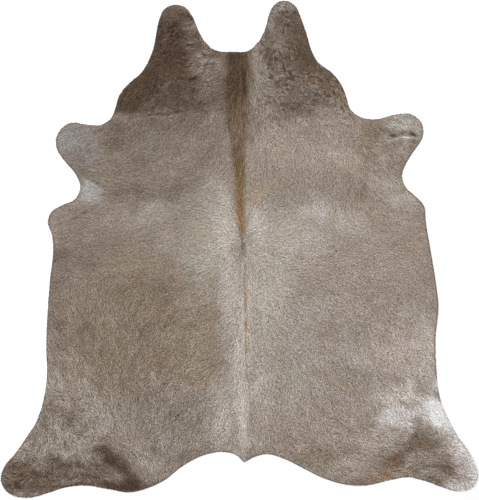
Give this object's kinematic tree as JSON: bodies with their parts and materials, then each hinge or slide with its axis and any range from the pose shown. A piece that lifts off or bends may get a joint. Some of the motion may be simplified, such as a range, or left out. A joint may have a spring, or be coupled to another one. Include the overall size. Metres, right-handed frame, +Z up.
{
  "type": "cowhide rug",
  "caption": "Flat hair-on cowhide rug with two neck flaps, short fore shanks, wide hind shanks, a small tail point and a dark spine stripe.",
  "frame": {"origin": "middle of the outline's box, on the floor that the leather lies on", "axes": "+Y toward the neck, along the spine; +X toward the picture's right side; +Z up, out of the coat"},
  "size_m": [2.1096, 2.1988, 0.0118],
  "materials": {
    "hair_on_hide": "short taupe cattle hair lying flat on chrome-tanned leather, soft low sheen"
  },
  "bodies": {
    "root": {"hide": "hair_on_hide"}
  },
  "joints": []
}
